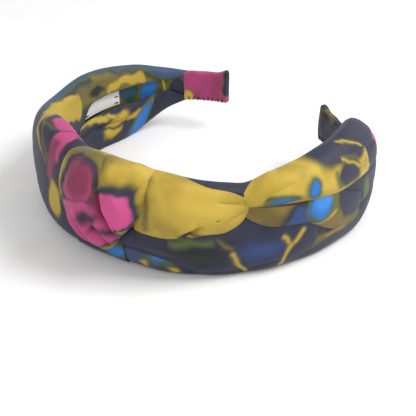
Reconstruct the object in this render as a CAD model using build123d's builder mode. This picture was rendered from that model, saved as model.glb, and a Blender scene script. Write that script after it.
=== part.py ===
"""A knotted fabric headband, lying on its lower edge as it is laid on a table.

Millimetres. +Z is up, across the band's width. The crown with its knot is at -Y and the two tips
point to +Y. The origin is at the centre of the footprint, on the surface that the band lies on.
A springy plastic core runs the whole way round inside a sewn sleeve. A wide scarf is laid over
the sleeve, held by a knotted loop at the crown, and narrows to the covered tips.
"""

from build123d import *

from math import cos, degrees, radians, sin
import os

# The core's centreline: a crown arc, then a tighter arc to the tip, the same on both sides.
CROWN_RADIUS = 72.0
CROWN_ARC = 76.0
TIP_RADIUS = 60.0
TIP_ARC = 84.0
MID_HEIGHT = 24.0
FULL_HEIGHT = 2 * MID_HEIGHT
TIP_HEADING = CROWN_ARC + TIP_ARC

# The arms flex about an upright axis on the core's centreline, each side of the crown.
FLEX_ANGLE = 52.0
OPENING_ROOM = 18.0
CLOSING_ROOM = 6.0
FLEX_GAP = 0.25

# The springy core, and the sleeve sewn round it.
CORE_HALF_THICK = 0.9
CORE_HALF_WIDTH = 11.5
CORE_TIP_HALF_WIDTH = 7.0
CORE_TIP_ROUND = 3.0
SLEEVE_WALL = 0.6
SLEEVE_HALF_THICK = CORE_HALF_THICK + SLEEVE_WALL
SLEEVE_HALF_WIDTH = CORE_HALF_WIDTH + SLEEVE_WALL
SLEEVE_TIP_HALF_WIDTH = CORE_TIP_HALF_WIDTH + SLEEVE_WALL

# The cover folded over each tip.
COVER_LENGTH = 24.0
COVER_WALL = 0.6
COVER_END = 1.0
COVER_HALF_THICK = SLEEVE_HALF_THICK + COVER_WALL
COVER_HALF_WIDTH = SLEEVE_TIP_HALF_WIDTH + COVER_WALL
COVER_ANGLE = TIP_HEADING - degrees(COVER_LENGTH / TIP_RADIUS)

# The scarf: a wide cloth tube pressed flat outside the sleeve, its edges rolled to the inside.
LAYER_GAP = 0.3
SCARF_INNER = SLEEVE_HALF_THICK + LAYER_GAP
SCARF_OUTER = 8.0
SCARF_LIP_DEPTH = 5.2
SCARF_LIP_HEIGHT = 13.0
SCARF_TAPER_ANGLE = 74.0
SCARF_END_ANGLE = COVER_ANGLE - 1.0
SCARF_END_OUTER = 3.4
SCARF_END_DEPTH = 2.9
SCARF_END_HALF_WIDTH = 9.0

# The knotted loop: full at the front, narrow over both edges and across the inside.
KNOT_MIDDLE = 11.0
KNOT_HALF_SPAN = 15.0
KNOT_BACK_HALF_SPAN = 7.0
KNOT_WRAP = 3.0
KNOT_INNER = SCARF_OUTER + LAYER_GAP
KNOT_OUTER = 18.0
KNOT_BACK = 8.4
KNOT_BACK_INNER = SCARF_LIP_DEPTH + LAYER_GAP
KNOT_ROUND = 5.0

# The full lobe of scarf between the knot and the twist on the right.
LOBE_FROM, LOBE_TO = 27.0, 50.0
LOBE_OUTER = 12.0
LOBE_LOW, LOBE_HIGH = 16.0, 45.0
LOBE_ROUND = 2.0

# The label on the sleeve's inner face, and its thread.
LABEL_FROM, LABEL_TO = 73.0, 99.0
LABEL_HALF_HEIGHT = 4.8
LABEL_THICK = 0.5
THREAD = 0.45
STITCH_LENGTH = 2.0
STITCH_PITCH = 3.4
LABEL_ROWS = 3

# Hand stitches along the cover's lower edge at each tip, and the tacks on the knot's back.
SEAM_STITCHES = 8
SEAM_MARGIN = 2.0
SEAM_HALF_ANGLE = 0.25
TACKS = 4

# The footprint runs from the knot's front to the tips' far side, and its centre is the origin.
TIP_DISTANCE = (
    -CROWN_RADIUS * cos(radians(CROWN_ARC))
    + TIP_RADIUS * (cos(radians(CROWN_ARC)) - cos(radians(TIP_HEADING)))
    + COVER_HALF_THICK * abs(cos(radians(TIP_HEADING)))
    + COVER_END * sin(radians(TIP_HEADING))
)
CROWN_CENTRE = Vector(0, (CROWN_RADIUS + KNOT_OUTER - TIP_DISTANCE) / 2)


def outward(angle):
    """The outward direction at an angle counted from the crown's middle towards the right arm."""
    return Vector(sin(radians(angle)), -cos(radians(angle)))


TIP_CENTRE = CROWN_CENTRE + outward(CROWN_ARC) * (CROWN_RADIUS - TIP_RADIUS)


def at(angle, offset=0.0):
    """A point on the core's centreline, or off it to the outside."""
    if angle <= CROWN_ARC:
        return CROWN_CENTRE + outward(angle) * (CROWN_RADIUS + offset)
    return TIP_CENTRE + outward(angle) * (TIP_RADIUS + offset)


def arcs(start, end, offset):
    """The line between two angles that keeps its distance from the core's centreline."""
    with BuildLine() as line:
        if start < CROWN_ARC:
            first_end = min(end, CROWN_ARC)
            CenterArc(CROWN_CENTRE, CROWN_RADIUS + offset, start - 90, first_end - start)
        if end > CROWN_ARC:
            first = max(start, CROWN_ARC)
            CenterArc(TIP_CENTRE, TIP_RADIUS + offset, first - 90, end - first)
    return line.line


def strip(start, end, inner, outer, low, high):
    """A band between two angles, two offsets and two heights, which follows the core."""
    with BuildPart() as made:
        with BuildSketch(Plane.XY.offset(low)):
            with BuildLine():
                add(arcs(start, end, inner))
                add(arcs(start, end, outer))
                Line(at(start, inner), at(start, outer))
                Line(at(end, inner), at(end, outer))
            make_face()
        extrude(amount=high - low)
    return made.part


def narrowing(start, start_half, end, end_half):
    """What is cut above and below a right-arm strip, so that it narrows between two angles."""
    middle = CROWN_ARC + TIP_ARC / 2
    along = Vector(cos(radians(middle)), sin(radians(middle)))

    def run(angle):
        return (at(angle) - TIP_CENTRE).dot(along)

    side = Plane(origin=TIP_CENTRE + Vector(0, 0, MID_HEIGHT), x_dir=along, z_dir=outward(middle))
    reach = CROWN_RADIUS
    with BuildPart() as made:
        with BuildSketch(side):
            for way in (1, -1):
                with BuildLine():
                    Polyline(
                        (run(start), way * start_half),
                        (run(end), way * end_half),
                        (reach, way * end_half),
                        (reach, way * reach),
                        (run(start), way * reach),
                        close=True,
                    )
                make_face()
        extrude(amount=reach, both=True)
    return made.part


def flex_room():
    """The wedge kept free at the right flex axis, so that the arm can open and close."""
    pivot = at(FLEX_ANGLE)
    reach = 3 * KNOT_OUTER
    radial = outward(FLEX_ANGLE) * reach
    slot = outward(FLEX_ANGLE + 90) * FLEX_GAP
    with BuildPart() as made:
        with BuildSketch():
            with BuildLine():
                Polyline(
                    pivot - radial,
                    pivot + radial,
                    pivot + outward(FLEX_ANGLE + OPENING_ROOM) * reach + slot,
                    pivot + slot,
                    pivot - outward(FLEX_ANGLE - CLOSING_ROOM) * reach + slot,
                    close=True,
                )
            make_face()
        extrude(amount=FULL_HEIGHT)
    return made.part


def keep(part, label):
    """Labels a finished piece and writes it."""
    part.label = label
    export_step(part, f"parts/{label}.step")


def keep_pair(part, label):
    """Writes a right-arm piece and its mirror image on the left arm."""
    with BuildPart() as other:
        mirror(part, about=Plane.YZ)
    keep(part, f"{label}_right")
    keep(other.part, f"{label}_left")


os.makedirs("parts", exist_ok=True)
ROOM = flex_room()

# The core, in three lengths that flex where they meet.
core_box = (-CORE_HALF_THICK, CORE_HALF_THICK, MID_HEIGHT - CORE_HALF_WIDTH, MID_HEIGHT + CORE_HALF_WIDTH)
with BuildPart() as core_crown:
    add(strip(-FLEX_ANGLE, FLEX_ANGLE, *core_box))
keep(core_crown.part, "core_crown")

with BuildPart() as core_arm:
    add(strip(FLEX_ANGLE, TIP_HEADING, *core_box))
    add(
        narrowing(SCARF_TAPER_ANGLE, CORE_HALF_WIDTH, COVER_ANGLE, CORE_TIP_HALF_WIDTH),
        mode=Mode.SUBTRACT,
    )
    add(ROOM, mode=Mode.SUBTRACT)
    tip_edges = core_arm.edges().filter_by(Axis(at(TIP_HEADING), outward(TIP_HEADING)))
    fillet(tip_edges, CORE_TIP_ROUND)
keep_pair(core_arm.part, "core")

# The sleeve round the core, left open at its ends.
sleeve_box = (
    -SLEEVE_HALF_THICK,
    SLEEVE_HALF_THICK,
    MID_HEIGHT - SLEEVE_HALF_WIDTH,
    MID_HEIGHT + SLEEVE_HALF_WIDTH,
)
with BuildPart() as sleeve_crown:
    add(strip(-FLEX_ANGLE, FLEX_ANGLE, *sleeve_box))
    add(core_crown.part, mode=Mode.SUBTRACT)
keep(sleeve_crown.part, "sleeve_crown")

with BuildPart() as sleeve_arm:
    add(strip(FLEX_ANGLE, TIP_HEADING, *sleeve_box))
    add(
        narrowing(SCARF_TAPER_ANGLE, SLEEVE_HALF_WIDTH, COVER_ANGLE, SLEEVE_TIP_HALF_WIDTH),
        mode=Mode.SUBTRACT,
    )
    add(ROOM, mode=Mode.SUBTRACT)
    sleeve_filled = sleeve_arm.part
    add(core_arm.part, mode=Mode.SUBTRACT)
keep_pair(sleeve_arm.part, "sleeve")

# The cover folded over the tip, closed at its end.
tip_plane = Plane(
    origin=at(TIP_HEADING) + Vector(0, 0, MID_HEIGHT),
    x_dir=outward(TIP_HEADING),
    z_dir=outward(TIP_HEADING + 90),
)
with BuildPart() as tip_cover:
    add(
        strip(
            COVER_ANGLE,
            TIP_HEADING,
            -COVER_HALF_THICK,
            COVER_HALF_THICK,
            MID_HEIGHT - COVER_HALF_WIDTH,
            MID_HEIGHT + COVER_HALF_WIDTH,
        )
    )
    with BuildSketch(tip_plane):
        Rectangle(2 * COVER_HALF_THICK, 2 * COVER_HALF_WIDTH)
    extrude(amount=COVER_END)
    add(sleeve_filled, mode=Mode.SUBTRACT)
keep_pair(tip_cover.part, "tip_cover")


def scarf_section(start, end):
    """The scarf's full section: outside layer, two rolled edges, and two lips on the inside."""
    with BuildPart() as made:
        add(strip(start, end, -SCARF_LIP_DEPTH, SCARF_OUTER, 0, FULL_HEIGHT))
        hollow_low = MID_HEIGHT - SLEEVE_HALF_WIDTH - LAYER_GAP
        hollow_high = MID_HEIGHT + SLEEVE_HALF_WIDTH + LAYER_GAP
        add(strip(start, end, -SCARF_INNER, SCARF_INNER, hollow_low, hollow_high), mode=Mode.SUBTRACT)
        window_low, window_high = SCARF_LIP_HEIGHT, FULL_HEIGHT - SCARF_LIP_HEIGHT
        window = strip(start, end, -SCARF_LIP_DEPTH, -SCARF_INNER, window_low, window_high)
        add(window, mode=Mode.SUBTRACT)
    return made.part


# The scarf over the crown, gathered in a little where the knotted loop goes round it.
with BuildPart() as scarf_crown:
    add(scarf_section(-FLEX_ANGLE, FLEX_ANGLE))
    for low in (0, FULL_HEIGHT - KNOT_WRAP - LAYER_GAP):
        pinch = strip(
            KNOT_MIDDLE - KNOT_HALF_SPAN,
            KNOT_MIDDLE + KNOT_HALF_SPAN,
            -SCARF_LIP_DEPTH,
            SCARF_OUTER,
            low,
            low + KNOT_WRAP + LAYER_GAP,
        )
        add(pinch, mode=Mode.SUBTRACT)
keep(scarf_crown.part, "scarf_crown")

# The scarf along each arm, narrowing and thinning to where the tip's cover begins.
middle_angle = (SCARF_TAPER_ANGLE + SCARF_END_ANGLE) / 2
middle_outer = (SCARF_OUTER + SCARF_END_OUTER) / 2
middle_depth = (SCARF_LIP_DEPTH + SCARF_END_DEPTH) / 2
with BuildPart() as thinning:
    with BuildSketch():
        for way, full, half, end_offset in (
            (1, SCARF_OUTER, middle_outer, SCARF_END_OUTER),
            (-1, SCARF_LIP_DEPTH, middle_depth, SCARF_END_DEPTH),
        ):
            clear = way * 2 * SCARF_OUTER
            with BuildLine():
                ThreePointArc(
                    at(SCARF_TAPER_ANGLE, way * full),
                    at(middle_angle, way * half),
                    at(SCARF_END_ANGLE, way * end_offset),
                )
                Polyline(
                    at(SCARF_END_ANGLE, way * end_offset),
                    at(SCARF_END_ANGLE, clear),
                    at(middle_angle, clear),
                    at(SCARF_TAPER_ANGLE, clear),
                    at(SCARF_TAPER_ANGLE, way * full),
                )
            make_face()
    extrude(amount=FULL_HEIGHT)

with BuildPart() as scarf_arm:
    add(scarf_section(FLEX_ANGLE, SCARF_END_ANGLE))
    add(
        narrowing(SCARF_TAPER_ANGLE, MID_HEIGHT, SCARF_END_ANGLE, SCARF_END_HALF_WIDTH),
        mode=Mode.SUBTRACT,
    )
    add(thinning.part, mode=Mode.SUBTRACT)
    add(ROOM, mode=Mode.SUBTRACT)
keep_pair(scarf_arm.part, "scarf")

# The full lobe of scarf beside the knot.
with BuildPart() as lobe:
    add(strip(LOBE_FROM, LOBE_TO, KNOT_INNER, LOBE_OUTER, LOBE_LOW, LOBE_HIGH))
    outer_face = lobe.faces().filter_by(GeomType.CYLINDER).sort_by(SortBy.AREA)[-1]
    fillet(outer_face.edges().filter_by(GeomType.CIRCLE), LOBE_ROUND)
keep(lobe.part, "scarf_lobe")

# The knotted loop round the scarf and the sleeve.
with BuildPart() as knot:
    add(
        strip(
            KNOT_MIDDLE - KNOT_HALF_SPAN,
            KNOT_MIDDLE + KNOT_HALF_SPAN,
            KNOT_INNER,
            KNOT_OUTER,
            0,
            FULL_HEIGHT,
        )
    )
    front = knot.faces().filter_by(GeomType.CYLINDER).sort_by(SortBy.AREA)[-1]
    fillet(front.edges().filter_by(GeomType.CIRCLE), KNOT_ROUND)
    fillet(knot.edges().filter_by(Axis.Z).sort_by(SortBy.DISTANCE)[-2:], KNOT_ROUND)
    back_from, back_to = KNOT_MIDDLE - KNOT_BACK_HALF_SPAN, KNOT_MIDDLE + KNOT_BACK_HALF_SPAN
    for low in (0, FULL_HEIGHT - KNOT_WRAP):
        add(strip(back_from, back_to, -KNOT_BACK, KNOT_INNER, low, low + KNOT_WRAP))
    add(strip(back_from, back_to, -KNOT_BACK, -KNOT_BACK_INNER, 0, FULL_HEIGHT))
keep(knot.part, "knot")

# The label, sewn on the left arm with a row of stitches at each end.
label_face = -SLEEVE_HALF_THICK
label_box = (
    label_face - LABEL_THICK,
    label_face,
    MID_HEIGHT - LABEL_HALF_HEIGHT,
    MID_HEIGHT + LABEL_HALF_HEIGHT,
)
with BuildPart() as label:
    mirror(strip(LABEL_FROM, LABEL_TO, *label_box), about=Plane.YZ)
keep(label.part, "label")


def stitch_rows(start, end, face, rows, middle_height):
    """A few thread stitches on an inner face, one above another."""
    with BuildPart() as made:
        for row in range(rows):
            low = middle_height + (row - (rows - 1) / 2) * STITCH_PITCH - THREAD / 2
            add(strip(start, end, face - THREAD, face, low, low + THREAD))
    return made.part


stitch_degrees = degrees(STITCH_LENGTH / TIP_RADIUS)
with BuildPart() as label_stitches:
    for start in (LABEL_FROM + stitch_degrees / 2, LABEL_TO - 1.5 * stitch_degrees):
        rows = stitch_rows(
            start, start + stitch_degrees, label_face - LABEL_THICK, LABEL_ROWS, MID_HEIGHT
        )
        mirror(rows, about=Plane.YZ)
keep(label_stitches.part, "label_stitches")

# Hand stitches along each tip cover's lower edge.
with BuildPart() as seam:
    low = MID_HEIGHT - COVER_HALF_WIDTH + THREAD
    seam_start = COVER_ANGLE + SEAM_MARGIN
    seam_step = (TIP_HEADING - SEAM_MARGIN - seam_start) / (SEAM_STITCHES - 1)
    for i in range(SEAM_STITCHES):
        middle = seam_start + i * seam_step
        add(
            strip(
                middle - SEAM_HALF_ANGLE,
                middle + SEAM_HALF_ANGLE,
                -COVER_HALF_THICK - THREAD,
                -COVER_HALF_THICK,
                low,
                low + STITCH_LENGTH,
            )
        )
keep_pair(seam.part, "seam_stitches")

# Tacks that fasten the knotted loop on its back.
tack_degrees = degrees(STITCH_LENGTH / CROWN_RADIUS)
with BuildPart() as tacks:
    add(
        stitch_rows(KNOT_MIDDLE - tack_degrees, KNOT_MIDDLE + tack_degrees, -KNOT_BACK, TACKS, MID_HEIGHT)
    )
keep(tacks.part, "knot_tacks")

pivot = at(FLEX_ANGLE)
print(f"right flex axis {pivot.X:.3f} {pivot.Y:.3f}, crown centre y {CROWN_CENTRE.Y:.3f}")
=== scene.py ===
# %% [markdown]
# # A knotted headband
# The real thing is a springy plastic core inside a sewn sleeve, with a wide printed scarf folded
# round it and a knotted loop at the crown. The solid model gives the sizes and the places where
# it flexes. Here every cloth is remade as a thin folded sheet that follows the core.

# %% Load the frame
import math
import bpy
import numpy as np
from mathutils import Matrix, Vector


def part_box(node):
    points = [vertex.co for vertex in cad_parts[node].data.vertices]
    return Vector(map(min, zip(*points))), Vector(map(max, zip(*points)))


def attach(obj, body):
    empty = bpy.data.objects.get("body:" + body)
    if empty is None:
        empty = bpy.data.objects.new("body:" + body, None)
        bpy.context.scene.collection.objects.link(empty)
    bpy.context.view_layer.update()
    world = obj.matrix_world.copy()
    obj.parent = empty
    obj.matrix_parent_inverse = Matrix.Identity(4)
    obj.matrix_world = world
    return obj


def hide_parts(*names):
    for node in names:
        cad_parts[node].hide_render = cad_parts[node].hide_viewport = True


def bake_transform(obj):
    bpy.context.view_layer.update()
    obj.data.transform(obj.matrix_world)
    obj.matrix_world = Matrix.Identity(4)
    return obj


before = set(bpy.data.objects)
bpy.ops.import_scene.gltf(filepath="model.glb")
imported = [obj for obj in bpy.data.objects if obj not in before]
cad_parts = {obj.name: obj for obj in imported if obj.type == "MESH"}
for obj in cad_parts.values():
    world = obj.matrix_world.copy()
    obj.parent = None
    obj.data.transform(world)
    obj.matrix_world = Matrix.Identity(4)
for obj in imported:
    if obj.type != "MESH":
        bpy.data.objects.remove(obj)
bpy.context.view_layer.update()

# %% [markdown]
# The core is an arc over the crown and a tighter arc to each tip. Any point of the cloth can then be
# given by three numbers: an angle round the band, how far out it stands from the core, and a height.
# That is easier to think in than plain X, Y and Z, so every shape below is written that way.

# %% The band's own coordinates
MM = 0.001
CROWN_RADIUS, CROWN_ARC = 72.0, 76.0
TIP_RADIUS, TIP_ARC = 60.0, 84.0
MID_HEIGHT = 24.0
FLEX_ANGLE = 52.0
TIP_ANGLE = CROWN_ARC + TIP_ARC
COVER_ANGLE = 137.0
SCARF_END = COVER_ANGLE + 1
CROWN_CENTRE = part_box("core_crown")[0].y / MM + CROWN_RADIUS + 0.9
CLOTH_PER_DEGREE = 1.4


def on_band(angle, out, height):
    """Points in metres, from angles in degrees and distances in millimetres."""
    turn = np.radians(np.abs(angle))
    side = np.where(np.asarray(angle) < 0, -1.0, 1.0)
    join = math.radians(CROWN_ARC)
    beyond = turn > join
    radius = np.where(beyond, TIP_RADIUS, CROWN_RADIUS) + out
    shift = np.where(beyond, CROWN_RADIUS - TIP_RADIUS, 0.0)
    x = shift * math.sin(join) + radius * np.sin(turn)
    y = CROWN_CENTRE - shift * math.cos(join) - radius * np.cos(turn)
    return np.stack([side * x, y, height + 0 * x], -1) * MM


print("crown centre", CROWN_CENTRE, "right tip", on_band(TIP_ANGLE, 0, MID_HEIGHT))

# %% [markdown]
# The scarf is a tube of cloth pressed flat outside the core, with its two edges rolled to the inside.
# Across the band it is a rounded flat loop, open on the inside. A handful of stations say how
# high, how thick and how full it is at each angle, and the rest is eased between them.

# %% The scarf's section along each arm
# angle, top, bottom, outside, depth inside, lean of the upper outside, belly of the lower inside
RIGHT_STATIONS = (
    (0, 47.2, 0.9, 8.2, 5.2, 0.0, 0.0),
    (11, 46.6, 1.2, 8.2, 5.2, 0.0, 0.0),
    (22, 46.0, 0.6, 8.4, 5.0, 0.0, 0.0),
    (30, 45.5, 0.0, 8.5, 5.0, 0.0, 0.0),
    (42, 43.0, 0.0, 8.3, 5.0, 0.0, 0.0),
    (50, 41.5, 0.0, 7.8, 4.6, 0.0, 0.0),
    (56, 40.5, 0.0, 7.2, 4.4, 0.0, 0.0),
    (63, 42.5, 0.0, 8.6, 5.0, 0.0, 0.0),
    (75, 46.0, 0.0, 10.2, 5.2, 0.1, 0.0),
    (92, 48.5, 0.0, 12.2, 5.4, 0.3, 0.0),
    (108, 49.2, 0.0, 14.4, 5.4, 0.6, 0.0),
    (118, 48.0, 3.5, 14.4, 5.0, 0.6, 0.0),
    (125, 44.5, 8.0, 13.0, 4.6, 0.5, 0.0),
    (131, 39.5, 11.5, 9.6, 4.0, 0.3, 0.0),
    (137, 32.0, 15.8, 2.6, 2.0, 0.0, 0.0),
)
LEFT_STATIONS = (
    (0, 47.2, 0.9, 8.2, 5.2, 0.0, 0.0),
    (8, 48.4, 0.4, 8.8, 6.4, 0.0, 0.0),
    (20, 49.2, 0.0, 9.6, 8.0, 0.0, 0.0),
    (40, 44.0, 0.0, 8.8, 6.6, 0.0, 0.5),
    (60, 40.5, 0.0, 7.2, 5.4, 0.0, 2.5),
    (80, 39.5, 0.0, 6.2, 5.2, 0.0, 4.5),
    (100, 37.8, 0.0, 5.8, 5.0, 0.0, 4.0),
    (109, 36.6, 1.5, 5.6, 4.6, 0.0, 2.5),
    (117, 35.6, 6.0, 5.2, 4.2, 0.0, 1.5),
    (126, 34.2, 11.5, 4.2, 3.2, 0.0, 0.6),
    (137, 32.2, 15.6, 2.4, 2.0, 0.0, 0.0),
)
SQUARENESS = 3.2
PATH_POINTS = 240


def eased(stations, column, angle):
    """A station value between stations, without corners."""
    xs = [row[0] for row in stations]
    ys = [row[column] for row in stations]
    slope = np.gradient(ys, xs)
    i = int(np.clip(np.searchsorted(xs, angle) - 1, 0, len(xs) - 2))
    span = xs[i + 1] - xs[i]
    t = float(np.clip((angle - xs[i]) / span, 0, 1))
    h00, h10 = 2 * t**3 - 3 * t**2 + 1, t**3 - 2 * t**2 + t
    h01, h11 = 3 * t**2 - 2 * t**3, t**3 - t**2
    return h00 * ys[i] + h10 * span * slope[i] + h01 * ys[i + 1] + h11 * span * slope[i + 1]


def section(angle):
    """The scarf's loop at an angle: outs, heights, and the cloth coordinate, 24 at mid outside."""
    stations = RIGHT_STATIONS if angle >= 0 else LEFT_STATIONS
    top, bottom, outer, depth, lean, belly = (
        eased(stations, column, abs(angle)) for column in range(1, 7)
    )
    phi = np.linspace(-math.pi, math.pi, PATH_POINTS)
    c, s = np.cos(phi), np.sin(phi)
    outs = (outer - depth) / 2 + (outer + depth) / 2 * np.sign(c) * np.abs(c) ** (2 / SQUARENESS)
    outs = np.where(outs > 0, outs * (1 - lean * np.clip(s, 0, 1) ** 3), outs)
    outs = np.where(outs < 0, outs - belly * np.clip(-s, 0, 1), outs)
    heights = (top + bottom) / 2 + (top - bottom) / 2 * np.sign(s) * np.abs(s) ** (2 / SQUARENESS)
    run = np.concatenate([[0], np.cumsum(np.hypot(np.diff(outs), np.diff(heights)))])
    middle = np.interp((top + bottom) / 2, heights[60:180], run[60:180])
    return outs, heights, run - middle + MID_HEIGHT


# The loops at every half degree, read at even steps along the cloth.
ANGLES = np.arange(-145.0, 145.25, 0.5)
ACROSS = np.arange(-36.0, 86.0, 0.5)
loops = [section(angle) for angle in ANGLES]
OUTS = np.array([np.interp(ACROSS, run, outs) for outs, heights, run in loops])
HEIGHTS = np.array([np.interp(ACROSS, run, heights) for outs, heights, run in loops])


def read_loop(angle, across):
    """Out and height at any angle and cloth coordinate, between the loops' even steps."""
    i = np.clip((angle - ANGLES[0]) / 0.5, 0, len(ANGLES) - 1.001)
    j = np.clip((across - ACROSS[0]) / 0.5, 0, len(ACROSS) - 1.001)
    i0, j0 = i.astype(int), j.astype(int)
    a, b = i - i0, j - j0
    weights = ((0, 0, (1 - a) * (1 - b)), (1, 0, a * (1 - b)), (0, 1, (1 - a) * b), (1, 1, a * b))
    out = sum(OUTS[i0 + p, j0 + q] * w for p, q, w in weights)
    height = sum(HEIGHTS[i0 + p, j0 + q] * w for p, q, w in weights)
    return out, height


RESTING = 0.6


def on_scarf(angle, across, lift):
    """Points at a cloth coordinate on the scarf's loop, raised square to it but never below the
    table that the cloth lies on."""
    angle, across = np.broadcast_arrays(angle, across)
    out, height = read_loop(angle, across)
    step = 0.8
    next_out, next_height = read_loop(angle, across + step)
    last_out, last_height = read_loop(angle, across - step)
    along_out, along_height = next_out - last_out, next_height - last_height
    size = np.maximum(np.hypot(along_out, along_height), 1e-6)
    raised = np.maximum(height - along_out / size * lift, RESTING)
    return on_band(angle, out + along_height / size * lift, raised)


print("loop round at 90 degrees:", round(float(np.ptp(section(90)[2])), 1), "mm")

# %% [markdown]
# Folds are what makes flat cloth look like cloth. Each is a line drawn on the cloth with a width and
# a height: positive for a soft ridge, negative for a sharp crease. They fade out at their ends, as a
# real fold does where the cloth goes slack.

# %% Folds drawn on the cloth


def near_line(u, v, start, end):
    """Distance from a line on the cloth, and how far along it, from 0 to 1."""
    ax, ay = start[0] * CLOTH_PER_DEGREE, start[1]
    bx, by = end[0] * CLOTH_PER_DEGREE, end[1]
    dx, dy = bx - ax, by - ay
    t = np.clip(((u - ax) * dx + (v - ay) * dy) / (dx * dx + dy * dy), 0, 1)
    return np.hypot(u - ax - t * dx, v - ay - t * dy), t


def folded(u, v, folds):
    """How far the folds raise or sink the cloth at u, v."""
    lift = np.zeros_like(u)
    for start, end, width, height in folds:
        away, t = near_line(u, v, start, end)
        fade = np.clip(4.5 * t * (1 - t) + 0.12, 0, 1)
        shape = np.exp(-((away / width) ** 2)) if height > 0 else np.exp(-away / width)
        lift = lift + height * fade * shape
    return lift


def drifting(u, v, scale, height, seed=0.0):
    """Gentle unevenness of slack cloth, from a few crossing waves."""
    a = np.sin(u / scale + 1.3 * np.sin(v / scale * 0.7 + seed) + seed)
    b = np.sin(v / scale * 1.2 + 1.1 * np.sin(u / scale * 0.8 - seed) + 2 * seed)
    return height * 0.5 * (a + b)


# %% [markdown]
# A sheet is built as rows of points: one row for each angle. The cloth coordinates are stored on each
# point, so that the print stays on the cloth when the band flexes. A pad of folded cloth is two such
# layers, its front raised and its back lying on the scarf, sewn together round the rim.

# %% Sheets from rows of points


def cloth_mesh(name, rows, cloth):
    """An open grid of quads with its cloth coordinates kept on the points."""
    n, m = rows.shape[:2]
    index = np.arange(n * m).reshape(n, m)
    quads = np.stack([index[:-1, :-1], index[1:, :-1], index[1:, 1:], index[:-1, 1:]], -1)
    return mesh_piece(name, rows.reshape(-1, 3), quads.reshape(-1, 4), cloth.reshape(-1, 2))


def mesh_piece(name, points, faces, cloth):
    """A piece from points and faces, smooth, with the cloth coordinates kept on its points."""
    mesh = bpy.data.meshes.new(name)
    mesh.from_pydata(points.tolist(), [], [list(face) for face in faces])
    mesh.attributes.new("cloth", "FLOAT_VECTOR", "POINT")
    flat = np.concatenate([cloth, np.zeros((len(cloth), 1))], 1) * 1.0
    mesh.attributes["cloth"].data.foreach_set("vector", flat.ravel())
    mesh.polygons.foreach_set("use_smooth", [True] * len(mesh.polygons))
    piece = bpy.data.objects.new(name, mesh)
    bpy.context.scene.collection.objects.link(piece)
    return piece


def thicken(piece, thickness=0.5):
    """Gives an open sheet the cloth's own thickness, to its inner side."""
    solidify = piece.modifiers.new("thickness", "SOLIDIFY")
    solidify.thickness = thickness * MM
    solidify.offset = -1.0


def wrap(name, angles, low, high, folds=(), lift=0.0, across_points=150, slack=0.35):
    """One sheet round the scarf's loop, from cloth coordinate low(angle) to high(angle)."""
    share = np.linspace(0, 1, across_points)[None, :]
    lows = np.array([low(angle) for angle in angles])[:, None]
    highs = np.array([high(angle) for angle in angles])[:, None]
    v = lows + (highs - lows) * share
    angle = np.broadcast_to(np.asarray(angles)[:, None], v.shape)
    u = angle * CLOTH_PER_DEGREE
    base = lift(v) if callable(lift) else lift
    raised = base + folded(u, v, folds) + drifting(u, v, 9.0, slack, seed=len(name))
    piece = cloth_mesh(name, on_scarf(angle, v, raised), np.stack([u, v], -1))
    thicken(piece)
    return piece


def closed_pad(name, front, behind, cloth):
    """Sews a front and a back layer of points together round the rim."""
    n, m = front.shape[:2]
    index = np.arange(n * m).reshape(n, m)
    under = index + n * m
    under[0], under[-1], under[:, 0], under[:, -1] = index[0], index[-1], index[:, 0], index[:, -1]
    over_quads = np.stack([index[:-1, :-1], index[1:, :-1], index[1:, 1:], index[:-1, 1:]], -1)
    under_quads = np.stack([under[:-1, :-1], under[:-1, 1:], under[1:, 1:], under[1:, :-1]], -1)
    points = np.concatenate([front.reshape(-1, 3), behind.reshape(-1, 3)])
    faces = np.concatenate([over_quads.reshape(-1, 4), under_quads.reshape(-1, 4)])
    used = np.unique(faces)
    lookup = np.full(len(points), -1)
    lookup[used] = np.arange(len(used))
    both = np.concatenate([cloth.reshape(-1, 2)] * 2)
    piece = mesh_piece(name, points[used], lookup[faces], both[used])
    smooth = piece.modifiers.new("smooth", "SUBSURF")
    smooth.levels = smooth.render_levels = 1
    return piece


def along_cloth(points, values, axis):
    """Cloth coordinates measured along the raised cloth itself, kept as they were half way."""
    steps = np.linalg.norm(np.diff(points, axis=axis), axis=2) / MM
    zero = np.zeros_like(np.take(steps, [0], axis))
    run = np.concatenate([zero, np.cumsum(steps, axis=axis)], axis)
    middle = [values.shape[axis] // 2]
    return np.take(values, middle, axis) + run - np.take(run, middle, axis)


def pad(name, sides, low, high, height, folds=(), count=(120, 100), full=(2.4, 2.4), slack=0.3):
    """A closed pad of folded cloth. sides(mix) gives its two end angles at each height, low and
    high its cloth coordinates along it, and height(share, mix) how full it is."""
    s = np.sin(np.linspace(-1, 1, count[0]) * math.pi / 2)[:, None]
    t = np.sin(np.linspace(-1, 1, count[1]) * math.pi / 2)[None, :]
    share, mix = (s + 1) / 2, (t + 1) / 2
    starts = np.array([sides(m)[0] for m in mix[0]])[None, :]
    ends = np.array([sides(m)[1] for m in mix[0]])[None, :]
    angle = starts + (ends - starts) * share
    lows = np.array([low(x) for x in share[:, 0]])[:, None]
    highs = np.array([high(x) for x in share[:, 0]])[:, None]
    v = lows + (highs - lows) * mix
    u = angle * CLOTH_PER_DEGREE
    edge = (1 - np.abs(s) ** full[0]) ** 0.5 * (1 - np.abs(t) ** full[1]) ** 0.5
    detail = folded(u, v, folds) + drifting(u, v, 8.0, slack, seed=len(name))
    raised = height(share, mix) * edge + detail * edge**0.7
    raised = np.maximum(raised, PAD_BACK + 0.25 * edge)
    behind = on_scarf(angle, v, np.full_like(v, PAD_BACK))
    front = on_scarf(angle, v, raised)
    cloth = np.stack([along_cloth(front, u, 0), along_cloth(front, v, 1)], -1)
    return closed_pad(name, front, behind, cloth)


PAD_BACK = -0.4


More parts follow.
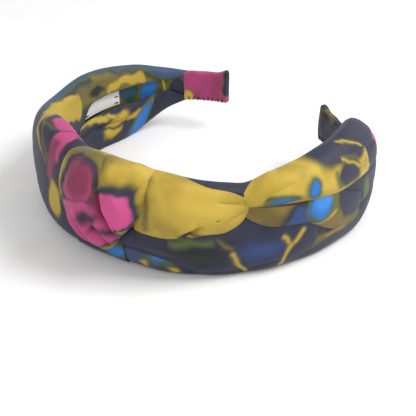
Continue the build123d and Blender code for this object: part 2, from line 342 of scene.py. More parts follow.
def easing(x, start, end):
    """0 before start, 1 after end, smooth between."""
    t = np.clip((x - start) / (end - start), 0, 1)
    return t * t * (3 - 2 * t)


def between(*pairs):
    """An eased line through given pairs, as a function."""
    rows = tuple(pairs)
    return lambda x: eased(rows, 1, x)


# %% [markdown]
# ## The scarf along each arm
# Each half of the scarf is one sheet. Its lower lip inside climbs towards the knot, as the cloth is
# gathered there, and long soft folds run along it.

# %% The two halves of the scarf
left_angles = -np.linspace(0, SCARF_END, 250)
right_angles = np.linspace(0, SCARF_END, 250)
left_low = between(
    (-138, 12.0),
    (-126, -3.0),
    (-112, -22.0),
    (-95, -29.0),
    (-74, -32.0),
    (-62, -24.0),
    (-30, -26.0),
    (0, -24.0),
)
left_high = between(
    (-138, 36.0),
    (-126, 44.0),
    (-110, 54.0),
    (-98, 58.0),
    (-84, 60.0),
    (-73, 63.0),
    (-67, 70.0),
    (-60, 77.0),
    (0, 77.0),
)
right_low = between((0, -25.0), (60, -25.0), (100, -24.0), (116, -14.0), (127, -1.0), (138, 12.0))
right_high = between((0, 73.0), (50, 66.0), (100, 70.0), (116, 64.0), (127, 50.0), (138, 36.0))

LEFT_FOLDS = (
    ((-62, -25), (-122, -14), 2.6, 1.9),
    ((-60, -20), (-112, -16), 0.7, -0.9),
    ((-66, -15), (-110, -10), 3.0, 1.5),
    ((-66, -29), (-104, -27), 2.0, 1.2),
    ((-60, 48), (-128, 41), 3.2, 1.6),
    ((-55, 42), (-120, 37), 0.8, -0.9),
    ((-50, 54), (-96, 50), 2.2, 1.2),
    ((-30, 34), (-80, 30), 0.9, -0.8),
    ((-20, 20), (-95, 14), 1.0, -0.8),
)
RIGHT_FOLDS = (
    ((58, 39), (88, 33), 0.9, -2.2),
    ((60, 34), (92, 27), 4.0, 1.2),
    ((60, 45), (100, 44), 4.5, 1.0),
    ((84, 36), (122, 28), 1.0, -0.7),
    ((80, 14), (126, 18), 1.1, -0.8),
    ((96, 44), (132, 36), 1.1, -0.8),
    ((20, 6), (60, 3), 2.6, 0.8),
)
scarf_left = wrap("scarf_left_half", left_angles, left_low, left_high, LEFT_FOLDS)
scarf_right = wrap("scarf_right_half", right_angles, right_low, right_high, RIGHT_FOLDS)
print("scarf halves", len(scarf_left.data.polygons), len(scarf_right.data.polygons))

# %% [markdown]
# ## The folded layers on the right
# The yellow lobe is the same scarf turned over: it leaves the knot full and is pinched to a rounded
# end at the twist. A dark fold comes out under it and carries on below the sleeve's lower panel.

# %% Lobe, lower fold and lower panel
lobe_low = between((0, 19.0), (0.35, 21.0), (0.6, 25.0), (0.8, 26.5), (0.93, 31.0), (1, 36.0))
lobe_high = between((0, 62.0), (0.35, 54.0), (0.6, 46.5), (0.85, 43.5), (1, 40.0))
LOBE_FOLDS = (
    ((36, 24), (43, 31), 0.8, -2.6),
    ((34, 25), (41, 32), 1.8, 1.4),
    ((39, 23), (45, 29), 1.8, 1.2),
    ((25, 46), (27, 26), 1.1, -1.8),
    ((29, 44), (33, 28), 3.0, 0.9),
    ((30, 47), (52, 40), 3.0, 1.1),
    ((48, 31), (56, 37), 0.8, -1.2),
    ((46, 40), (56, 38), 0.8, -1.2),
)
lobe = pad(
    "yellow_lobe",
    lambda m: (22, 56.6),
    lobe_low,
    lobe_high,
    lambda s, t: (4.8 - 1.6 * s) * (1 - 0.8 * easing(t, 0.45, 0.85)),
    LOBE_FOLDS,
)
fold_low = between((0, 11.0), (0.15, 11.0), (0.3, 6.0), (0.42, -4.0), (0.7, -6.0), (1, 4.0))
fold_high = between((0, 19.0), (0.2, 26.0), (0.6, 32.0), (0.85, 30.0), (1, 24.0))
FOLD_FOLDS = (
    ((22, 18), (52, 16), 3.2, 0.8),
    ((26, 22), (60, 22), 0.8, -0.8),
    ((40, 6), (70, 10), 1.0, -0.6),
)
dark_fold = pad(
    "lower_fold",
    lambda m: (15, 79),
    fold_low,
    fold_high,
    lambda s, t: 0.4 + 2.2 * easing(t, 0.1, 0.45),
    FOLD_FOLDS,
)
panel_low = between((0, 33.0), (0.12, 27.0), (0.4, 23.0), (0.75, 12.0), (1, 14.0))
panel_high = between((0, 38.0), (0.3, 34.5), (0.7, 31.5), (1, 24.0))
PANEL_FOLDS = (((60, 32), (84, 24), 3.0, 0.6), ((68, 20), (90, 18), 0.8, -0.5))
panel = pad(
    "lower_panel", lambda m: (54.5, 100.5), panel_low, panel_high, lambda s, t: 3.0 - 1.4 * s, PANEL_FOLDS
)
cuff_low = between((0, 37.0), (0.25, 35.0), (0.6, 31.0), (1, 32.0))
cuff_high = between((0, 43.0), (0.15, 56.0), (0.5, 62.0), (1, 62.0))
CUFF_FOLDS = (
    ((57, 42), (66, 52), 2.2, 1.0),
    ((58, 40), (72, 44), 0.8, -0.9),
    ((64, 38), (90, 34), 2.4, 0.8),
)
cuff = pad(
    "upper_panel",
    lambda m: (54.8, 104.8),
    cuff_low,
    cuff_high,
    lambda s, t: (3.4 * (1 - s) ** 0.8 + 0.4) * (1 - 0.7 * easing(t, 0.3, 0.7)),
    CUFF_FOLDS,
)

# %% [markdown]
# ## The knot
# The loop is pulled tight, so its cloth gathers in pleats that all run to one point at the lower
# right, where the end is tucked in. The pleats are sharp creases with full ridges between them.

# %% The knotted loop
knot_left = between((0, 3.0), (0.25, -2.5), (0.6, -4.0), (0.85, -1.0), (1, 1.0))
knot_right = between((0, 19.0), (0.2, 24.0), (0.5, 27.0), (0.8, 27.5), (1, 24.0))
knot_bottom = between((0, 13.0), (0.4, 9.5), (0.7, 10.0), (1, 20.0))
knot_top = between((0, 62.0), (0.5, 63.0), (1, 60.0))
GATHER = (19.5, 13.0)
KNOT_FOLDS = (
    ((12, 43), GATHER, 1.0, -4.6),
    ((16, 38), (21, 24), 2.2, 2.4),
    ((10, 27), (17, 13), 0.9, -3.6),
    ((7, 30), (12, 16), 2.4, 2.2),
    ((19, 44), (23, 22), 2.4, 2.2),
    ((14, 47), (20, 36), 2.2, 1.8),
    ((17, 34), (20, 22), 0.8, -2.4),
    ((3, 34), (10, 52), 3.4, 1.6),
    ((9, 52), (14, 42), 1.0, -1.6),
    ((20, 52), (26, 44), 3.2, 1.4),
    ((2, 24), (8, 12), 2.2, 1.6),
    ((5, 25), (9, 13), 0.9, -2.0),
    ((0, 40), (6, 33), 1.0, -1.0),
    ((22, 30), GATHER, 0.9, -2.0),
)


knot = pad(
    "knotted_loop",
    lambda m: (knot_left(m), knot_right(m)),
    knot_bottom,
    knot_top,
    lambda s, t: 9.8 * (1 - 0.85 * easing(t, 0.42, 0.85)) + 0 * s,
    KNOT_FOLDS,
    count=(170, 170),
    full=(2.6, 3.2),
)
print("knot", len(knot.data.polygons))

# %% [markdown]
# ## The sleeve and the covered tips
# Under the scarf the core has its own sleeve, whose inner face shows between the scarf's two lips.
# It is a flat tube of the same print. A separate cover is folded over each tip and sewn along its
# lower edge, where the hand stitches pull the cloth into small puckers.

# %% Flat tubes round the core
sleeve_half = between((0, 12.2), (74, 12.0), (110, 9.8), (142, 7.9), (160, 7.7))


CORNER_SPREAD = 3.5


def flat_tube(name, angles, half_height, half_thick, pucker=0.0, corner=0.0, around=72):
    """A closed flat tube that follows the core, its lower edge puckered and its top corner raised."""
    phi = np.linspace(0, 2 * math.pi, around, endpoint=False)
    c, s = np.cos(phi), np.sin(phi)
    flat_c = np.sign(c) * np.abs(c) ** 0.45
    flat_s = np.sign(s) * np.abs(s) ** 0.6
    rows, cloth = [], []
    for angle in angles:
        size = abs(angle)
        high, thick = half_height(size), half_thick(size)
        u = np.full_like(phi, angle * CLOTH_PER_DEGREE)
        peak = corner * math.exp(-(((TIP_ANGLE - size) / CORNER_SPREAD) ** 2))
        z = MID_HEIGHT + high * flat_s + peak * np.clip(flat_s, 0, 1) ** 2
        low_edge = np.clip(-flat_s, 0, 1) ** 4
        gather = pucker * low_edge * np.sin(size * 3.1 + 0.6 * np.sin(size * 1.3))
        o = thick * flat_c * (1 + 0.25 * low_edge * pucker) + 0.12 * np.sin(size * 0.7 + z * 0.5)
        rows.append(on_band(np.full_like(o, angle), o + 0.5 * gather, z + gather))
        cloth.append(np.stack([u, z], 1))
    rows, cloth = np.array(rows), np.array(cloth)
    n, m = rows.shape[:2]
    index = np.arange(n * m).reshape(n, m)
    nxt = np.roll(index, -1, axis=1)
    quads = np.stack([index[:-1], index[1:], nxt[1:], nxt[:-1]], -1).reshape(-1, 4)
    ends = [index[0][::-1].tolist(), index[-1].tolist()]
    if angles[-1] < 0:
        quads = quads[:, ::-1]
        ends = [end[::-1] for end in ends]
    piece = mesh_piece(name, rows.reshape(-1, 3), quads.tolist() + ends, cloth.reshape(-1, 2))
    smooth = piece.modifiers.new("smooth", "SUBSURF")
    smooth.levels = smooth.render_levels = 1
    return piece


COVER_FROM, COVER_TO = COVER_ANGLE - 0.6, TIP_ANGLE + 0.9
COVER_HALF_HEIGHT, COVER_HALF_THICK = 8.4, 2.3
COVER_PUCKER, COVER_CORNER = 0.3, 2.2
SLEEVE_HALF_THICK = 1.5


def cover_half(size):
    """The cover's half height, a little less in its last 1.4 degrees."""
    drawn_in = max(0.0, size - COVER_TO + 1.4) / 1.4
    return COVER_HALF_HEIGHT * (1 - 0.08 * drawn_in**2)


def cover_thick(size):
    """The cover's half thickness, pressed thin in its last 1.2 degrees."""
    drawn_in = max(0.0, size - COVER_TO + 1.2) / 1.2
    return COVER_HALF_THICK * (1 - 0.7 * drawn_in**3)


sleeves, covers = {}, {}
for side, sign in (("left", -1), ("right", 1)):
    sleeves[side] = flat_tube(
        f"sleeve_{side}_half",
        sign * np.linspace(0, TIP_ANGLE, 220),
        sleeve_half,
        lambda size: SLEEVE_HALF_THICK,
    )
    covers[side] = flat_tube(
        f"cover_{side}",
        sign * np.linspace(COVER_FROM, COVER_TO, 60),
        cover_half,
        cover_thick,
        COVER_PUCKER,
        COVER_CORNER,
    )
print("sleeve and covers made")

# %% [markdown]
# ## Shader maths as plain expressions
# A small class wraps a node's output, so that `1 - mask` or `distance / 3` writes the Math node by
# itself. Every other node comes from one method, which sets the node up and then plugs it in.

# %% Sockets with operators


class Wire:
    """A node's output that can be added, multiplied and so on."""

    def __init__(self, tree, socket):
        self.tree, self.socket = tree, socket

    def node(self, kind, settings=None, **inputs):
        return make_node(self.tree, kind, settings, **inputs)

    def _math(self, operation, a, b):
        node = self.tree.nodes.new("ShaderNodeMath")
        node.operation = operation
        for slot, value in zip(node.inputs, (a, b)):
            plug(self.tree, slot, value)
        return Wire(self.tree, node.outputs[0])

    def __add__(self, other):
        return self._math("ADD", self, other)

    def __sub__(self, other):
        return self._math("SUBTRACT", self, other)

    def __mul__(self, other):
        return self._math("MULTIPLY", self, other)

    def __truediv__(self, other):
        return self._math("DIVIDE", self, other)

    def __rsub__(self, other):
        return self._math("SUBTRACT", other, self)

    __radd__, __rmul__ = __add__, __mul__


def plug(tree, slot, value):
    """Links a wire into a socket, or sets the socket's own value."""
    if isinstance(value, Wire):
        tree.links.new(value.socket, slot)
    else:
        slot.default_value = value


def make_node(tree, kind, settings=None, output=0, **inputs):
    """A node of any kind: its settings first, then the values or wires of its sockets."""
    node = tree.nodes.new(kind)
    for key, value in (settings or {}).items():
        setattr(node, key, value)
    for key, value in inputs.items():
        slot = node.inputs[int(key[1:])] if key[0] == "_" else node.inputs[key.replace("_", " ")]
        plug(tree, slot, value)
    return Wire(tree, node.outputs[output])


def tint(code):
    """A dye's colour from its hex code, in linear light."""
    channels = [int(code[i : i + 2], 16) / 255 for i in (0, 2, 4)]
    return tuple(c / 12.92 if c < 0.04045 else ((c + 0.055) / 1.055) ** 2.4 for c in channels) + (1.0,)


# %% [markdown]
# ## The print
# The cloth is dyed in soft blots and strokes. Each motif has a place on the cloth, a size and a dye,
# and its edge bleeds: first an olive ring, then a near-black green one, then the dye itself. A slow
# noise bends every edge, so that none is a perfect oval.

# %% Dyes
DYE = {
    "mustard": "B89C35",
    "gold": "C9AB40",
    "olive": "6F632C",
    "brown": "7E6A33",
    "moss": "59662F",
    "navy": "2B2E44",
    "night": "1A2226",
    "ink": "1B1D22",
    "slate": "3B4C70",
    "teal": "235560",
    "blue": "2A74BE",
    "sky": "3C86D8",
    "indigo": "2F4478",
    "pink": "B8457A",
    "bright": "CC4C88",
    "rose": "85304F",
    "plum": "3A2438",
}
DYE_STRENGTH = 0.86


def steeped(code):
    """A dye's colour once it has sunk into the cotton, a little darker than in the pot."""
    return tuple(channel * DYE_STRENGTH for channel in tint(code)[:3]) + (1.0,)


DYES = {name: steeped(code) for name, code in DYE.items()}
print(len(DYES), "dyes")

RIMS = {
    "navy": ("night", "olive"),
    "night": ("ink", "olive"),
    "slate": ("teal", "moss"),
    "blue": ("teal", "moss"),
    "sky": ("teal", "moss"),
    "indigo": ("night", None),
    "pink": ("plum", None),
    "teal": ("night", "moss"),
    "mustard": ("olive", None),
    "gold": ("olive", None),
}


def soft_step(distance, edge, softness):
    """1 inside the edge and 0 outside it, eased over the softness."""
    return distance.node(
        "ShaderNodeMapRange",
        {"interpolation_type": "SMOOTHSTEP"},
        Value=distance,
        From_Min=edge + softness,
        From_Max=edge - softness,
    )


def mixed(factor, first, second):
    """Two colours mixed by a factor."""
    return factor.node(
        "ShaderNodeMix", {"data_type": "RGBA"}, output=2, _0=factor, _6=first, _7=second
    )


def blot_distance(place, centre, radii, turn=0.0):
    """Roughly how far a place is outside an oval, in millimetres."""
    across, along = radii
    c, s = math.cos(math.radians(turn)), math.sin(math.radians(turn))
    x = place[0] - centre[0] * CLOTH_PER_DEGREE
    y = place[1] - centre[1]
    first = (x * c + y * s) / across
    second = (y * c - x * s) / along
    reach = (first * first + second * second)._math("POWER", first * first + second * second, 0.5)
    return (reach - 1) * min(across, along)


def stroke_distance(place, start, end, width):
    """How far a place is outside a round-ended stroke, in millimetres."""
    ax, ay = start[0] * CLOTH_PER_DEGREE, start[1]
    bx, by = end[0] * CLOTH_PER_DEGREE, end[1]
    dx, dy = bx - ax, by - ay
    x, y = place[0] - ax, place[1] - ay
    t = (x * dx + y * dy) / (dx * dx + dy * dy)
    t = t._math("MINIMUM", t._math("MAXIMUM", t, 0.0), 1.0)
    x, y = x - t * dx, y - t * dy
    square = x * x + y * y
    return square._math("POWER", square, 0.5) - width


def printed(name, ground, motifs, roughness=0.62):
    """Printed cotton: a ground dye, the motifs over it in order, a weave and a soft sheen."""
    material = bpy.data.materials.new(name)
    material.use_nodes = True
    tree = material.node_tree
    shader = tree.nodes["Principled BSDF"]
    cloth = make_node(tree, "ShaderNodeAttribute", {"attribute_name": "cloth"}, output=1)
    bend = cloth.node("ShaderNodeTexNoise", output=1, Vector=cloth, Scale=0.13, Detail=0.6)
    wander = cloth.node("ShaderNodeVectorMath", {"operation": "SUBTRACT"}, _0=bend, _1=(0.5, 0.5, 0.5))
    wander = cloth.node("ShaderNodeVectorMath", {"operation": "SCALE"}, _0=wander, Scale=5.0)
    bent = cloth.node("ShaderNodeVectorMath", {"operation": "ADD"}, _0=cloth, _1=wander)
    split = bent.tree.nodes.new("ShaderNodeSeparateXYZ")
    plug(tree, split.inputs[0], bent)
    place = (Wire(tree, split.outputs[0]), Wire(tree, split.outputs[1]))
    blotch = cloth.node("ShaderNodeTexNoise", Vector=cloth, Scale=0.09, Detail=3.0)
    fleck = cloth.node("ShaderNodeTexNoise", Vector=cloth, Scale=1.7, Detail=2.0)
    ground_deep = tuple(c * 0.74 for c in DYES[ground][:3]) + (1.0,)
    colour = mixed(soft_step(blotch, 0.5, 0.16), DYES[ground], ground_deep)
    for motif in motifs:
        kind, dye = motif[0], motif[1]
        softness = motif[5] if len(motif) > 5 else 0.9
        if kind == "blot":
            distance = blot_distance(place, motif[2], motif[3], motif[4] if len(motif) > 4 else 0.0)
        else:
            distance = stroke_distance(place, motif[2], motif[3], motif[4])
        inner, outer = RIMS.get(dye, (None, None))
        if softness > 1.5:
            inner, outer = None, None
        if outer:
            colour = mixed(soft_step(distance, 1.2, 1.4) * 0.8, colour, DYES[outer])
        if inner:
            colour = mixed(soft_step(distance, 0.1, 1.1) * 0.9, colour, DYES[inner])
        colour = mixed(soft_step(distance, -0.6 if inner else 0.0, softness), colour, DYES[dye])
    shade = colour.node(
        "ShaderNodeMix", {"data_type": "RGBA", "blend_type": "MULTIPLY"}, output=2,
        _0=0.35, _6=colour, _7=fleck.node("ShaderNodeMapRange", Value=fleck, To_Min=0.72, To_Max=1.18),
    )
    plug(tree, shader.inputs["Base Color"], shade)
    finish_cloth(tree, shader, cloth, roughness)
    return material


# %% [markdown]
# The weave is two sets of fine threads crossing at right angles. At this scale it hardly shows in
# one picture, but it breaks up the light as cotton does, so the surface doesn't look like plastic.

# %% Weave and sheen
THREAD_PITCH = 0.42


def finish_cloth(tree, shader, cloth, roughness):
    """The woven relief, the gloss and the sheen that every printed cloth has."""
    threads = []
    for direction in ("X", "Y"):
        threads.append(
            cloth.node(
                "ShaderNodeTexWave",
                {"wave_type": "BANDS", "bands_direction": direction, "wave_profile": "SIN"},
                output=1,
                Vector=cloth,
                Scale=math.tau / 20 / THREAD_PITCH,
                Distortion=0.6,
            )
        )
    slub = cloth.node("ShaderNodeTexNoise", Vector=cloth, Scale=0.8, Detail=3.0)
    height = (threads[0] + threads[1]) * 0.35 + slub * 0.9
    bump = cloth.node("ShaderNodeBump", Strength=0.22, Distance=0.00018, Height=height)
    plug(tree, shader.inputs["Normal"], bump)
    rough = cloth.node("ShaderNodeMapRange", Value=slub, To_Min=roughness - 0.1, To_Max=roughness + 0.1)
    plug(tree, shader.inputs["Roughness"], rough)
    shader.inputs["Sheen Weight"].default_value = 0.06
    shader.inputs["Sheen Roughness"].default_value = 0.45
    shader.inputs["Specular IOR Level"].default_value = 0.35


# %% [markdown]
# ## Placing the print
# The motifs are listed piece by piece, as a cutter would mark them on the cloth. Places are an
# angle round the band and a height on the cloth, above 44 where it turns over the top edge and
# below 0 where it turns under to the inside. A few dark strokes along creases and beside the knot
# are painted shade, not print.

# %% Motifs on each cloth
KNOT_PRINT = (
    ("blot", "olive", (5, 53), (15.0, 6.5), 10, 4.0),
    ("blot", "gold", (24, 53), (10.0, 4.0), 0, 3.0),
    ("blot", "navy", (6, 40), (11.6, 12.6), 10),
    ("blot", "navy", (22.5, 33), (14.6, 11.8), -12),
    ("blot", "navy", (11, 22), (20.0, 15.0), 0),
    ("blot", "pink", (6, 39.5), (9.0, 9.8), 10),
    ("blot", "pink", (11, 21), (18.6, 13.6), 0),
    ("blot", "bright", (22.5, 32.5), (11.4, 8.8), -12, 1.2),
    ("blot", "rose", (6, 42), (7.5, 8.0), 20, 3.0),
    ("blot", "rose", (15, 31), (3.5, 6.0), 20, 3.0),
    ("blot", "plum", (10.5, 27), (4.0, 3.2), 20, 2.0),
    ("stroke", "plum", (12, 20), (21, 17), 1.4, 2.0),
    ("stroke", "ink", (15, 55), (15.5, 55.4), 0.25, 0.4),
)
LOBE_PRINT_AND_SHADE = (
    # Painted shade: the olive stroke darkens the lobe where it runs under the knot's right side.
    ("stroke", "olive", (25.5, 47), (25, 25), 1.6, 2.2),
    ("blot", "gold", (42, 38), (14.0, 9.0), 0, 6.0),
    # Painted shade: the night stroke darkens the lobe's sharp crease.
    ("stroke", "night", (36, 22), (43, 25), 0.7, 1.6),
    ("blot", "ink", (47, 33), (0.4, 0.3), 0, 0.4),
)
FOLD_PRINT = (
    ("blot", "ink", (40, 16), (14.0, 7.0), 0, 3.5),
    ("blot", "indigo", (60, 17), (9.0, 4.5), 0, 4.0),
    ("stroke", "moss", (33, 21), (45, 22.5), 1.3, 2.0),
    ("stroke", "olive", (48, 23), (50, 20), 0.7, 1.6),
    ("stroke", "mustard", (51, 17), (55.5, 6), 1.3),
    ("stroke", "mustard", (66.5, 21), (69.5, 16), 1.3),
    ("stroke", "mustard", (74, 20), (69.5, 16), 1.5),
    ("stroke", "mustard", (69.5, 16), (67, 3), 1.6),
)
PANEL_PRINT = (
    ("blot", "navy", (96, 27), (14.0, 12.0), 0),
    ("stroke", "moss", (85, 34), (84, 25), 1.8, 1.4),
    ("stroke", "mustard", (84, 24), (77, 19.5), 1.4),
    ("stroke", "mustard", (77, 19.5), (69, 20), 1.2),
    ("blot", "night", (73, 28), (11.5, 8.0), 5, 1.8),
    ("blot", "indigo", (71, 27.5), (7.0, 6.4), 5, 1.2),
    ("blot", "blue", (78, 29), (6.0, 6.6), 20, 1.2),
    ("blot", "sky", (79, 31), (4.5, 3.8), 20, 2.0),
    ("stroke", "olive", (86, 14), (97, 14), 1.8, 2.0),
)
CUFF_PRINT = (
    ("blot", "mustard", (60, 40), (7.0, 8.0), 0, 4.0),
    ("blot", "navy", (93, 51), (21.0, 9.5), 0),
    ("blot", "navy", (91, 37), (7.5, 6.0), 0),
    ("stroke", "moss", (84, 40), (87, 33), 0.9, 1.3),
    ("stroke", "night", (61, 36), (70, 34.5), 1.0, 1.6),
    ("blot", "blue", (65.5, 34.5), (4.5, 1.3), 0, 1.2),
    ("blot", "blue", (76, 36.5), (3.2, 3.8), 20),
    ("stroke", "gold", (91, 52), (99, 46.5), 0.9),
    ("stroke", "gold", (88, 43.5), (100, 37), 0.9),
)
RIGHT_PRINT = (
    ("blot", "slate", (20, 7), (14.0, 4.2), 0, 1.8),
    ("blot", "teal", (10, 9), (6.0, 3.2), 0),
    ("blot", "blue", (29, 10), (4.0, 2.2), 0),
    ("blot", "mustard", (24.5, 5), (2.0, 2.4), 0),
    ("blot", "mustard", (34, 6), (3.2, 2.0), 0),
    ("stroke", "olive", (74, 9), (99, 12), 2.0, 2.0),
    ("stroke", "mustard", (83, 10), (93, 11), 0.8, 1.4),
    ("blot", "moss", (105, 23), (2.6, 5.0), 10, 1.8),
    ("stroke", "gold", (96, 50), (103, 44), 0.9),
    ("stroke", "gold", (99, 38), (106, 33), 0.9),
    ("blot", "bright", (119, 33), (5.0, 9.0), 0),
)
LEFT_PRINT = (
    ("stroke", "olive", (-66, 57), (-120, 52), 5.0, 2.5),
    ("stroke", "slate", (-44, 45), (-140, 38), 4.6, 1.5),
    ("stroke", "olive", (-80, 49.5), (-92, 49.5), 1.6, 1.6),
    ("stroke", "mustard", (-89, 57), (-113, 49), 2.6),
    ("blot", "night", (-81, 55.5), (8.0, 2.6), 0),
    ("stroke", "mustard", (-31, 55), (-64, 58), 6.6),
    ("stroke", "mustard", (-31, 52), (-18, 38), 1.5),
    ("stroke", "night", (-27, 52), (-16, 38), 1.2),
    ("blot", "night", (-20, 62), (19.0, 11.5), 0),
    ("blot", "pink", (-15, 60), (16.0, 9.5), 0),
    ("blot", "pink", (-9, 48), (5.0, 9.0), 0),
    ("stroke", "rose", (-10, 46), (-13, 30), 2.4, 1.4),
    ("blot", "mustard", (-11, 19), (5.5, 11.0), -10),
    ("blot", "mustard", (-48, 18), (13.0, 8.0), 25),
    ("blot", "pink", (-70, 24), (10.0, 7.0), -20),
    ("blot", "blue", (-92, 14), (12.0, 7.0), 10),
    ("stroke", "mustard", (-100, 26), (-130, 22), 2.4),
    ("stroke", "mustard", (-56, -27), (-87, -23), 2.2),
    ("stroke", "mustard", (-87, -23), (-118, -8), 2.0),
    ("blot", "mustard", (-91, -16), (15.0, 4.6), 12),
    # Painted shade: these two ink strokes darken the crease along the lower lip inside.
    ("stroke", "ink", (-77, -17), (-97, -14), 0.7, 1.2),
    ("stroke", "ink", (-63, -20), (-80, -20), 1.0, 1.4),
    ("blot", "blue", (-109, -6), (12.5, 5.0), 14),
)
SLEEVE_LEFT_PRINT = (
    ("stroke", "mustard", (-127, 33), (-137, 32), 1.6, 1.6),
    ("blot", "navy", (-132.5, 21), (6.0, 8.0), 0),
    ("stroke", "gold", (-125, 33), (-126, 15), 1.4),
    ("blot", "blue", (-116.5, 24), (7.0, 8.0), 0),
    ("blot", "teal", (-105, 25), (7.5, 7.0), 0),
    ("blot", "night", (-66, 20), (30.0, 8.0), 0),
)
COVER_LEFT_PRINT = (
    ("blot", "gold", (-138.5, 17), (5.5, 5.0), 40),
    ("stroke", "navy", (-161, 36), (-160, 24), 2.4),
)
COVER_RIGHT_PRINT = (
    ("stroke", "olive", (159, 33), (158, 18), 0.8, 1.2),
    ("stroke", "olive", (158, 33), (146, 31), 0.8, 1.2),
)

cloths = {
    "knot": printed("knot_print", "mustard", KNOT_PRINT),
    "lobe": printed("lobe_print_and_shade", "mustard", LOBE_PRINT_AND_SHADE),
    "fold": printed("fold_print", "navy", FOLD_PRINT),
    "panel": printed("panel_print", "brown", PANEL_PRINT),
    "cuff": printed("cuff_print", "gold", CUFF_PRINT),
    "right": printed("right_print", "navy", RIGHT_PRINT),
    "left": printed("left_print", "navy", LEFT_PRINT),
    "sleeve_left": printed("sleeve_left_print", "olive", SLEEVE_LEFT_PRINT),
    "sleeve_right": printed("sleeve_right_print", "navy", ()),
    "cover_left": printed("cover_left_print", "pink", COVER_LEFT_PRINT),
    "cover_right": printed("cover_right_print", "navy", COVER_RIGHT_PRINT),
}
dressed = {
    "knot": knot, "lobe": lobe, "fold": dark_fold, "panel": panel, "cuff": cuff,
    "right": scarf_right, "left": scarf_left,
    "sleeve_left": sleeves["left"], "sleeve_right": sleeves["right"],
    "cover_left": covers["left"], "cover_right": covers["right"],
}
for name, piece in dressed.items():
    piece.data.materials.append(cloths[name])
print(len(cloths), "printed cloths")

# %% [markdown]
# ## The strap behind the knot
# The knotted loop goes right round the band. At the back it is a plain narrow strap, whose two ends
# meet over the sleeve, where a few tacks hold them.

# %% Strap
STRAP_FROM, STRAP_TO = -2.0, 18.0


def strap_lift(v):
    """Close over the edges, and fuller across the inside where the two ends lie."""
    return 0.6 + 2.6 * easing(np.abs(v - MID_HEIGHT), 33.0, 42.0)


strap = wrap(
    "knot_strap",
    np.linspace(STRAP_FROM, STRAP_TO, 40),
    lambda angle: float(section(abs(angle))[2][0]),
    lambda angle: float(section(abs(angle))[2][-1]),
    (((4, 60), (12, 74), 0.8, -0.9), ((6, -26), (14, -8), 0.8, -0.9), ((0, 56), (6, 72), 2.0, 0.5)),
    strap_lift,
)
STRAP_PRINT = (
    ("blot", "mustard", (10, 62), (18.0, 9.0), 0),
    ("blot", "pink", (10, -16), (9.0, 6.0), 0),
    ("blot", "blue", (14, 8), (7.0, 3.4), 0),
)
cloths["strap"] = printed("strap_print", "navy", STRAP_PRINT)
dressed["strap"] = strap
strap.data.materials.append(cloths["strap"])
print("strap", len(strap.data.polygons))

# %% [markdown]
# ## The other materials
# The label is a blank satin tape woven with fine ribs.
# The thread is twisted, so a fine slanting wave stands in for its strands. The core is matt moulded
# plastic, a little uneven in its gloss.

# %% Label, thread and core


def plain_material(name, dye, low, high, grain, bands=None, depth=0.0001):
    """A one-colour material whose shade, gloss and relief vary with its grain."""
    material = bpy.data.materials.new(name)
    material.use_nodes = True
    tree = material.node_tree
    shader = tree.nodes["Principled BSDF"]
    place = make_node(tree, "ShaderNodeTexCoord", output=3)
    noise = place.node("ShaderNodeTexNoise", Vector=place, Scale=grain, Detail=3.0)
    base = tint(dye)
    deep = tuple(c * 0.8 for c in base[:3]) + (1.0,)
    plug(tree, shader.inputs["Base Color"], mixed(noise, deep, base))
    gloss = place.node("ShaderNodeMapRange", Value=noise, To_Min=low, To_Max=high)
    plug(tree, shader.inputs["Roughness"], gloss)
    height = noise * 0.5
    if bands:
        ribs = {"wave_type": "BANDS", "bands_direction": bands[0]}
        height = height + place.node("ShaderNodeTexWave", ribs, output=1, Vector=place, Scale=bands[1])
    bump = place.node("ShaderNodeBump", Strength=0.3, Distance=depth, Height=height)
    plug(tree, shader.inputs["Normal"], bump)
    return material


label_tape = plain_material("label_tape", "EDEDE8", 0.35, 0.55, 900.0, ("Z", 400.0))
thread = plain_material("thread", "23252E", 0.5, 0.7, 3000.0, ("DIAGONAL", 900.0))
core_plastic = plain_material("core_plastic", "17171A", 0.45, 0.6, 400.0)
finishes = {"core": core_plastic, "label": label_tape, "label_stitches": thread}
for name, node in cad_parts.items():
    finish = thread if "stitches" in name or "tacks" in name else finishes.get(name.split("_")[0])
    if finish:
        node.data.materials.clear()
        node.data.materials.append(finish)
print("finishes on the solid parts that show")

# %% [markdown]
# ## What moves with what
# Each arm turns about its flex axis. The knot and its strap ride on the crown and each tip cover on
# its arm; the cloths that cross an axis are not bent.

# %% Riding on the crown and the arms
BEND_REACH = 8.0


def bends(piece, side):
    """Finds where a bend about one arm's flex axis would start and end, and bakes the piece's transform
    into its points.
    """
    sign = -1 if side == "left" else 1
    start = on_band(sign * (FLEX_ANGLE - BEND_REACH), 0, MID_HEIGHT)
    end = on_band(sign * (FLEX_ANGLE + BEND_REACH), 0, MID_HEIGHT)
    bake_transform(piece)


for piece in (scarf_left, sleeves["left"]):
    bends(piece, "left")
for piece in (scarf_right, lobe, dark_fold, panel, cuff, sleeves["right"]):
    bends(piece, "right")
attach(knot, "crown")
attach(strap, "crown")
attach(covers["left"], "left_arm")
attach(covers["right"], "right_arm")
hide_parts("scarf_left")
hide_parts("scarf_right", "scarf_crown")
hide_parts("scarf_lobe")
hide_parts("knot")
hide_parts("sleeve_left", "sleeve_crown")
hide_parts("sleeve_right")
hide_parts("tip_cover_left")
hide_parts("tip_cover_right")

# %% Count of the cloths
print("declared", len(dressed), "cloths")

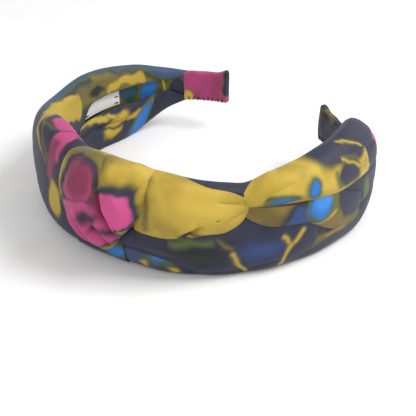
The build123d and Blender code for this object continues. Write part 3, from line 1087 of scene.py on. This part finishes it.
# %% [markdown]
# ## Table, light and camera
# The band lies on a white table under a large softbox above and to the right, with a weaker one in
# front. A pale room fills the shadows.

# %% Table and light
TABLE_HALF = 4.0
corners = ((-1, -1), (1, -1), (1, 1), (-1, 1))
table_mesh = bpy.data.meshes.new("table")
table_points = [(x * TABLE_HALF, y * TABLE_HALF, 0) for x, y in corners]
table_mesh.from_pydata(table_points, [], [(0, 1, 2, 3)])
table = bpy.data.objects.new("table", table_mesh)
bpy.context.scene.collection.objects.link(table)
table_mesh.materials.append(plain_material("table_top", "F8F8F8", 0.7, 0.85, 20.0))
world = bpy.data.worlds.new("studio")
bpy.context.scene.world = world
world.use_nodes = True
world.node_tree.nodes["Background"].inputs[0].default_value = (1, 1, 1, 1)
world.node_tree.nodes["Background"].inputs[1].default_value = 0.76
bpy.context.scene.view_settings.view_transform = "Standard"


def softbox(name, at, size, power):
    """A square lamp that faces the band."""
    lamp = bpy.data.lights.new(name, "AREA")
    lamp.energy, lamp.size = power, size
    box = bpy.data.objects.new(name, lamp)
    box.location = at
    box.rotation_mode = "QUATERNION"
    box.rotation_quaternion = (Vector((0, 0, 0.02)) - Vector(at)).to_track_quat("-Z", "Y")
    bpy.context.scene.collection.objects.link(box)


softbox("key", (0.45, 0.35, 0.7), 0.4, 6.4)
softbox("front", (0.2, -0.7, 0.5), 0.6, 1.4)
print("table and two softboxes")

# %% Camera
TURN, TILT, DISTANCE = math.radians(42.67), math.radians(32.45), 330 * MM
target = Vector((43.97, 27.18 + CROWN_CENTRE - CROWN_RADIUS, MID_HEIGHT)) * MM
back = Vector((math.sin(TURN) * math.cos(TILT), -math.cos(TURN) * math.cos(TILT), math.sin(TILT)))
lens = bpy.data.cameras.new("camera")
lens.lens = 67.64
lens.sensor_width = 36
camera = bpy.data.objects.new("camera", lens)
camera.rotation_mode = "QUATERNION"
camera.location = target + back * DISTANCE
camera.rotation_quaternion = (-back).to_track_quat("-Z", "Y")
bpy.context.scene.collection.objects.link(camera)
bpy.context.scene.camera = camera
print("camera at", tuple(round(x, 3) for x in camera.location))
